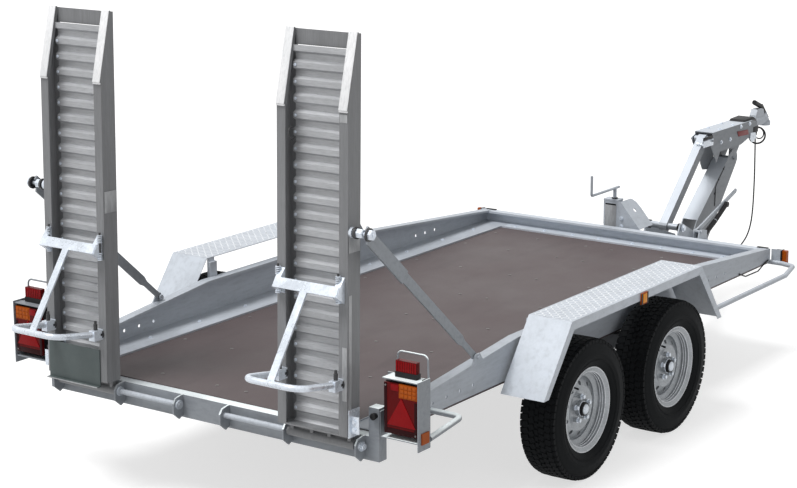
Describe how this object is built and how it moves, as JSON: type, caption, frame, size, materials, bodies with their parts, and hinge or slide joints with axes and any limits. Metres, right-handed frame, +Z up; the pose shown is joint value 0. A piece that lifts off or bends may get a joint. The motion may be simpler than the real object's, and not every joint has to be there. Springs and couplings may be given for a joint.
{
  "type": "plant trailer",
  "caption": "tandem axle plant trailer with plywood bed, upright loading ramps on a rear beam, mudguards, lamp cages, jack and a height-adjusting overrun drawbar",
  "frame": {"origin": "on the ground under the middle of the length and width, counted without the hanging cable; the tyres and the jack's foot stand on z = 0", "axes": "+X is the trailer's right, +Y is forward towards the coupling, +Z is up"},
  "size_m": [2.284, 5.7666, 2.1117],
  "materials": {
    "galvanised": "galvanised, dull",
    "aluminium": "mill",
    "plywood": "phenolic film",
    "black_steel": "satin",
    "wheel_silver": "semi-gloss",
    "tyre": "matt",
    "black_plastic": "matt",
    "red_lens": "clear red",
    "amber_lens": "clear amber",
    "plate_white": "reflective",
    "zinc": "bright zinc"
  },
  "bodies": {
    "chassis": {"frame_spines": "galvanised", "cross_members": "galvanised", "rear_beam": "galvanised", "hinge_rods": "galvanised", "deck": "plywood", "side_rail_right": "galvanised", "side_rail_left": "galvanised", "front_rail": "galvanised", "axle_beams": "galvanised", "mudguard_right": "galvanised", "mudguard_left": "galvanised", "lamp_cage_right": "galvanised", "lamp_cage_left": "galvanised", "tail_lamp_bodies": "black_plastic", "tail_lenses_red": "red_lens", "tail_lenses_amber": "amber_lens", "front_corner_tubes": "galvanised", "front_marker_bodies": "black_plastic", "front_marker_lenses": "amber_lens", "stay_lugs": "galvanised", "drawbar_base": "galvanised", "brake_lever": "galvanised", "jack_housing": "galvanised", "marker_cable": "black_plastic"},
    "jack_foot": {"jack_leg": "galvanised"},
    "crank": {"jack_crank": "galvanised"},
    "ramp_r": {"ramp_frame_right": "aluminium", "ramp_treads_right": "aluminium", "ramp_leg_right": "zinc", "ramp_pin_right": "zinc"},
    "ramp_l": {"ramp_frame_left": "aluminium", "ramp_treads_left": "aluminium", "ramp_leg_left": "zinc", "ramp_pin_left": "zinc", "number_plate": "plate_white"},
    "stay_r": {"stay_right": "zinc"},
    "stay_l": {"stay_left": "zinc"},
    "arm": {"drawbar_arm": "galvanised", "brake_cable": "black_plastic"},
    "link": {"upper_link": "galvanised"},
    "head": {"head_channel": "galvanised", "drawtube": "black_steel", "coupling": "galvanised", "coupling_handle": "black_plastic", "cable_clip": "black_plastic", "hanging_cable": "black_plastic", "cable_plug": "black_plastic"},
    "wheel_rear_right_turning": {"wheel_rear_right": "wheel_silver", "tyre_rear_right": "tyre"},
    "wheel_rear_left_turning": {"wheel_rear_left": "wheel_silver", "tyre_rear_left": "tyre"},
    "wheel_front_right_turning": {"wheel_front_right": "wheel_silver", "tyre_front_right": "tyre"},
    "wheel_front_left_turning": {"wheel_front_left": "wheel_silver", "tyre_front_left": "tyre"}
  },
  "joints": [
    {"name": "wheel_rear_right_spin", "type": "hinge", "parent": "chassis", "child": "wheel_rear_right_turning", "pos_m": [1.028, -1.2167, 0.32], "axis": [1, 0, 0], "continuous": true},
    {"name": "wheel_rear_left_spin", "type": "hinge", "parent": "chassis", "child": "wheel_rear_left_turning", "pos_m": [-1.028, -1.2167, 0.32], "axis": [1, 0, 0], "continuous": true},
    {"name": "wheel_front_right_spin", "type": "hinge", "parent": "chassis", "child": "wheel_front_right_turning", "pos_m": [1.028, -0.4167, 0.32], "axis": [1, 0, 0], "continuous": true},
    {"name": "wheel_front_left_spin", "type": "hinge", "parent": "chassis", "child": "wheel_front_left_turning", "pos_m": [-1.028, -0.4167, 0.32], "axis": [1, 0, 0], "continuous": true},
    {"name": "ramp_right_lower", "type": "hinge", "parent": "chassis", "child": "ramp_r", "pos_m": [0.641, -2.5437, 0.472], "axis": [1, 0, 0], "range_deg": [0, 107.5]},
    {"name": "ramp_left_lower", "type": "hinge", "parent": "chassis", "child": "ramp_l", "pos_m": [-0.641, -2.5437, 0.472], "axis": [1, 0, 0], "range_deg": [0, 107.5]},
    {"name": "stay_right_fold", "type": "hinge", "parent": "chassis", "child": "stay_r", "pos_m": [0.8875, -1.7997, 0.66866], "axis": [-1, 0, 0], "range_deg": [0, 122]},
    {"name": "stay_left_fold", "type": "hinge", "parent": "chassis", "child": "stay_l", "pos_m": [-0.8875, -1.7997, 0.66866], "axis": [-1, 0, 0], "range_deg": [0, 122]},
    {"name": "jack_raise", "type": "slide", "parent": "chassis", "child": "jack_foot", "axis": [0, 0, 1], "range_m": [0, 0.24]},
    {"name": "jack_crank_turn", "type": "hinge", "parent": "chassis", "child": "crank", "pos_m": [-0.124, 1.1803, 0.768], "axis": [0, 0, 1], "continuous": true},
    {"name": "drawbar_arm_swing", "type": "hinge", "parent": "chassis", "child": "arm", "pos_m": [0, 1.8693, 0.34], "axis": [1, 0, 0], "range_deg": [-48, 6.5]},
    {"name": "upper_link_swing", "type": "hinge", "parent": "chassis", "child": "link", "pos_m": [0, 1.5523, 0.497], "axis": [1, 0, 0], "range_deg": [-48, 6.5]},
    {"name": "head_level", "type": "hinge", "parent": "arm", "child": "head", "pos_m": [0, 2.32096, 0.77921], "axis": [1, 0, 0], "range_deg": [-6.5, 48]}
  ],
  "couplings": [
    {"joint": "upper_link_swing", "follows": "drawbar_arm_swing", "ratio": 1},
    {"joint": "head_level", "follows": "drawbar_arm_swing", "ratio": -1}
  ]
}
